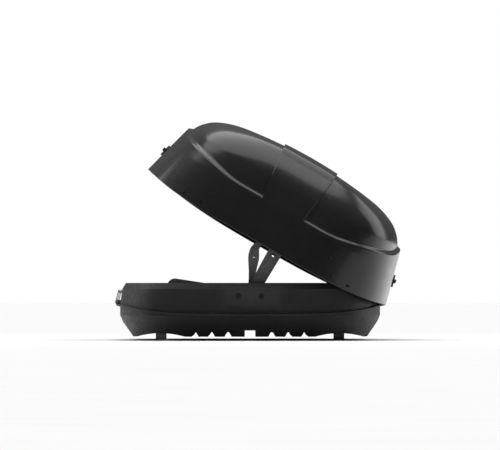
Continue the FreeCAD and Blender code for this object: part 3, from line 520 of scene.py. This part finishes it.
WEB_HALF_WIDTH = 0.0124
WEB_HALF_THICK = 0.00065
WEB_STEPS = 12               # steps across the webbing's section
WEB_PICK = 0.0021            # spacing of the crosswise ribs
RIB_RISE = 0.00009
SELVEDGE_RISE = 0.00018
SELVEDGE_START, SELVEDGE_RAMP, SELVEDGE_END = 0.72, 0.12, 0.08    # shares of the half width
ROUND_START, ROUND_BEND, ROUND_LEAST = 0.93, 0.0052, 0.02         # how the outer edges thin out
BEND_REACH = 0.006           # how far from a corner the webbing starts to bend round it
BEND_STEPS = 6
FLAT_END, FLAT_RAMP = 0.34, 0.05    # the part on the floor ends here, measured from the middle
FLOOR_RIPPLE = 0.00022       # how far the webbing waves up and down on the floor
SIDE_DRIFT = 0.0011          # how far it wanders along the box
LONG_WAVE, SHORT_WAVE, DRIFT_WAVE = 46, 103, 11    # waves along the strap, in radians per metre
FLOOR_CLEARANCE = 0.0006
# Bends at each anchor: distance in from the strap's end, with the distance down from its top.
HIGH_BENDS = [(0.0012, 0.0006), (0.0066, 0.0146)]
# Bends onto the floor: distance in from the strap's end, with the distance up from where it lies flat.
LOW_BENDS = [(0.0486, 0.0026), (0.0626, 0.0)]
FOLD_LENGTH = 0.042          # length sewn back on itself at each anchor
FOLD_IN, FOLD_UP = 0.0010, 0.0012    # where the folded end lies on the strap below it
STITCH_ROWS = 3
STITCHES_IN_ROW = 9          # how many steps a row of stitches divides the fold into
ROW_SPREAD = 0.75            # distance between rows, as a share of the half width
STITCH_RISE = 0.00012
STITCH_SIZE = (0.0013, 0.00035, 0.00028)    # half length, half width and half height of one stitch


def web_section(k):
    """A flat woven section with rounded, slightly thicker selvedges; every second section is a proud rib."""
    rib = RIB_RISE * (1 if k % 2 else -1)
    upper = []
    for j in range(WEB_STEPS + 1):
        u = -1 + 2 * j / WEB_STEPS
        rise = smooth_step((abs(u) - SELVEDGE_START) / SELVEDGE_RAMP)
        selvedge = SELVEDGE_RISE * rise * smooth_step((1.0 - abs(u)) / SELVEDGE_END)
        round_off = math.sqrt(max(1 - max(abs(u) - ROUND_START, 0) ** 2 / ROUND_BEND, ROUND_LEAST))
        upper.append((u * WEB_HALF_WIDTH, (WEB_HALF_THICK + rib + selvedge) * round_off))
    return upper + [(u, -v) for u, v in upper[::-1]]


def strap_line(y, corners):
    """Points every half rib along a strap that bends round its corners and waves a little on the floor."""
    rounded = []
    for before, corner, after in zip(corners, corners[1:], corners[2:]):
        enter = corner + (before - corner).normalized() * BEND_REACH
        leave = corner + (after - corner).normalized() * BEND_REACH
        for k in range(BEND_STEPS + 1):
            t = k / BEND_STEPS
            rounded.append(enter * (1 - t) ** 2 + corner * 2 * t * (1 - t) + leave * t**2)
    chain = [corners[0], *rounded, corners[-1]]
    points = []
    for a, b in zip(chain, chain[1:]):
        count = max(int((b - a).length / (WEB_PICK / 2)), 1)
        points += [a.lerp(b, k / count) for k in range(count)]
    points.append(chain[-1])
    for point in points:
        flat = smooth_step((FLAT_END - abs(point.x)) / FLAT_RAMP)
        wave = math.sin(point.x * LONG_WAVE + y * 9) + 0.5 * math.sin(point.x * SHORT_WAVE + 1.3)
        point.z += FLOOR_RIPPLE * flat * wave
        point.y += SIDE_DRIFT * flat * math.sin(point.x * DRIFT_WAVE + y * 20)
    return points


def build_strap(node):
    """One load strap between its side anchors, folded back and sewn at both ends."""
    low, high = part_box(node)
    y = (low.y + high.y) / 2
    floor = low.z + WEB_HALF_THICK + FLOOR_CLEARANCE
    side = [Vector((high.x - inward, y, high.z - down)) for inward, down in HIGH_BENDS]
    side += [Vector((high.x - inward, y, floor + up)) for inward, up in LOW_BENDS]
    corners = side + [Vector((-v.x, v.y, v.z)) for v in side[::-1]]
    line = strap_line(y, corners)
    across = Vector((0, 1, 0))
    webbing = swept(node + "_webbing", line, web_section, across)
    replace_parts(finished(webbing, node + "_webbing", "base", "webbing"), node)
    count = int(FOLD_LENGTH / (WEB_PICK / 2))
    for name, ends in (("right", line[:count]), ("left", line[-count:])):
        lift = [point + Vector((-math.copysign(FOLD_IN, point.x), 0, FOLD_UP)) for point in ends]
        fold = f"{node}_fold_{name}"
        finished(swept(fold, lift, web_section, across), fold, "base", "webbing")
        build_stitches(f"{node}_stitches_{name}", lift if name == "right" else lift[::-1])


def build_stitches(name, line):
    """Short thread bars sewn through the folded webbing, in rows along it; line starts at the anchor."""
    mesh = bmesh.new()
    step = max(len(line) // STITCHES_IN_ROW, 1)
    for row in range(STITCH_ROWS):
        offset = (row - (STITCH_ROWS - 1) / 2) * WEB_HALF_WIDTH * ROW_SPREAD
        for k in range(step, len(line) - 2, step):
            along = (line[k + 1] - line[k]).normalized()
            away = along.cross(Vector((0, 1, 0))).normalized()
            away *= 1 if away.z > 0 else -1
            middle = line[k] + Vector((0, offset, 0)) + away * (WEB_HALF_THICK + STITCH_RISE)
            turn = Matrix((along, Vector((0, 1, 0)), away)).transposed().to_4x4()
            place = Matrix.Translation(middle) @ turn @ Matrix.Diagonal((*STITCH_SIZE, 1))
            bmesh.ops.create_icosphere(mesh, subdivisions=2, radius=1.0, matrix=place)
    data = bpy.data.meshes.new(name)
    mesh.to_mesh(data)
    mesh.free()
    finished(data, name, "base", "webbing", THREAD)


# ---------------------------------------------------------------- softened edges on the CAD pieces

EDGE_ANGLE = math.radians(38)
EDGE_WIDTHS = {"base_tub": 0.0012, "knob_plastic": 0.0009, "stiffener": 0.0006}    # by material slot
FINE_EDGE = 0.0003           # for every other slot
REDRAWN = ("strap_rear", "strap_front", "lifter_spring", "lid_shell")    # CAD pieces that are replaced above


def soften(node, width):
    """Rounds a CAD piece's hard edges and shades its curved faces smoothly."""
    node.data.polygons.foreach_set("use_smooth", [True] * len(node.data.polygons))
    node.data.set_sharp_from_angle(angle=EDGE_ANGLE)
    round_off = node.modifiers.new("edges", "BEVEL")
    round_off.width = width
    round_off.segments = 2
    round_off.limit_method = "ANGLE"
    round_off.angle_limit = EDGE_ANGLE
    round_off.use_clamp_overlap = True


for end in ("rear", "front"):
    build_spring(f"lifter_spring_{end}")
    build_strap(f"strap_{end}")
for part in frame["record"]["subparts"]:
    if not part["node"].startswith(REDRAWN):
        soften(frame["nodes"][part["node"]], EDGE_WIDTHS.get(part["material_slot"], FINE_EDGE))


# ---------------------------------------------------------------- stage, lights and camera

FLOOR_BELOW = 0.001          # how far the floor lies below the part
FLOOR_HALF_WIDTH, FLOOR_NEAR, FLOOR_FAR = 30, -70, 150
CAMERA_PLACE = (0.0, -40.0, 0.120)
CAMERA_TILT = math.radians(90 + 0.33)    # a little above level
CAMERA_LENS, CAMERA_SENSOR = 852.0, 36.0
CAMERA_REACH = 200.0
CEILING_POWER, CEILING_ANGLE, CEILING_TILT = 2.6, math.radians(75), math.radians(-12)
GLOW_LOW, GLOW_HIGH = 0.07, 0.42    # world strength for reflections, at eye level and high up
GLOW_TOP = 0.9               # upward share of a direction at which the glow is full
RIM_SIDE, RIM_BEHIND, RIM_HEIGHT = 3.6, 1.2, 1.7
RIM_TARGET = Vector((0, 0, 0.3))
RIM_WIDTH, RIM_LENGTH, RIM_POWER = 2.4, 3.0, 34


def rim_light(name, side):
    """A rectangular light on one side, aimed at the box; side is -1 or 1."""
    light = bpy.data.lights.new(name, "AREA")
    light.shape = "RECTANGLE"
    light.size, light.size_y = RIM_WIDTH, RIM_LENGTH
    light.energy = RIM_POWER
    lamp = bpy.data.objects.new(name, light)
    lamp.location = (side * RIM_SIDE, RIM_BEHIND, RIM_HEIGHT)
    lamp.rotation_euler = (RIM_TARGET - lamp.location).to_track_quat("-Z", "Y").to_euler()
    bpy.context.scene.collection.objects.link(lamp)


def build_stage():
    """A plain pale floor that runs far behind the box and behind the camera."""
    floor_z = cad_box[0][2] - FLOOR_BELOW
    corners = [(-FLOOR_HALF_WIDTH, FLOOR_NEAR, floor_z), (FLOOR_HALF_WIDTH, FLOOR_NEAR, floor_z),
               (FLOOR_HALF_WIDTH, FLOOR_FAR, floor_z), (-FLOOR_HALF_WIDTH, FLOOR_FAR, floor_z)]
    data = bpy.data.meshes.new("studio_floor")
    data.from_pydata(corners, [], [(0, 1, 2, 3)])
    floor = bpy.data.objects.new("studio_floor", data)
    bpy.context.scene.collection.objects.link(floor)
    material, shader = new_material("studio_paint")
    tree = material.node_tree
    shade = spread(tree, noise(tree, 3.0, 5.0), 0.0, 1.0)
    tree.links.new(tint(tree, shade, (0.87, 0.87, 0.87), (0.89, 0.89, 0.89)), shader.inputs["Base Color"])
    shader.inputs["Roughness"].default_value = 0.9
    data.materials.append(material)


def build_camera():
    """A long lens far behind the box, just above its rim, as in the photograph."""
    camera = bpy.data.cameras.new("camera")
    camera.lens = CAMERA_LENS
    camera.sensor_width = CAMERA_SENSOR
    camera.clip_end = CAMERA_REACH
    holder = bpy.data.objects.new("camera", camera)
    holder.location = CAMERA_PLACE
    holder.rotation_euler = (CAMERA_TILT, 0, 0)
    bpy.context.scene.collection.objects.link(holder)
    bpy.context.scene.camera = holder


def overhead_light():
    """A wide, even light from above, like a large ceiling softbox."""
    sun = bpy.data.lights.new("ceiling", "SUN")
    sun.energy = CEILING_POWER
    sun.angle = CEILING_ANGLE
    lamp = bpy.data.objects.new("ceiling", sun)
    lamp.rotation_euler = (CEILING_TILT, 0, 0)
    bpy.context.scene.collection.objects.link(lamp)


def studio_world():
    """White where the camera looks past the floor; for reflections dark at eye level and brighter above."""
    world = bpy.data.worlds.new("studio")
    world.use_nodes = True
    tree = world.node_tree
    background = tree.nodes["Background"]
    coordinates = tree.nodes.new("ShaderNodeTexCoord")
    parts = tree.nodes.new("ShaderNodeSeparateXYZ")
    tree.links.new(coordinates.outputs["Generated"], parts.inputs["Vector"])
    glow = spread(tree, parts.outputs["Z"], GLOW_LOW, GLOW_HIGH, 0.0, GLOW_TOP)
    seen = tree.nodes.new("ShaderNodeLightPath")
    choice = tree.nodes.new("ShaderNodeMix")
    tree.links.new(seen.outputs["Is Camera Ray"], choice.inputs["Factor"])
    tree.links.new(glow, choice.inputs["A"])
    choice.inputs["B"].default_value = 1.0
    tree.links.new(choice.outputs["Result"], background.inputs["Strength"])
    background.inputs["Color"].default_value = (1, 1, 1, 1)
    bpy.context.scene.world = world


build_stage()
build_camera()
overhead_light()
studio_world()
rim_light("rim_left", -1)
rim_light("rim_right", 1)
bpy.context.scene.view_settings.view_transform = "Standard"
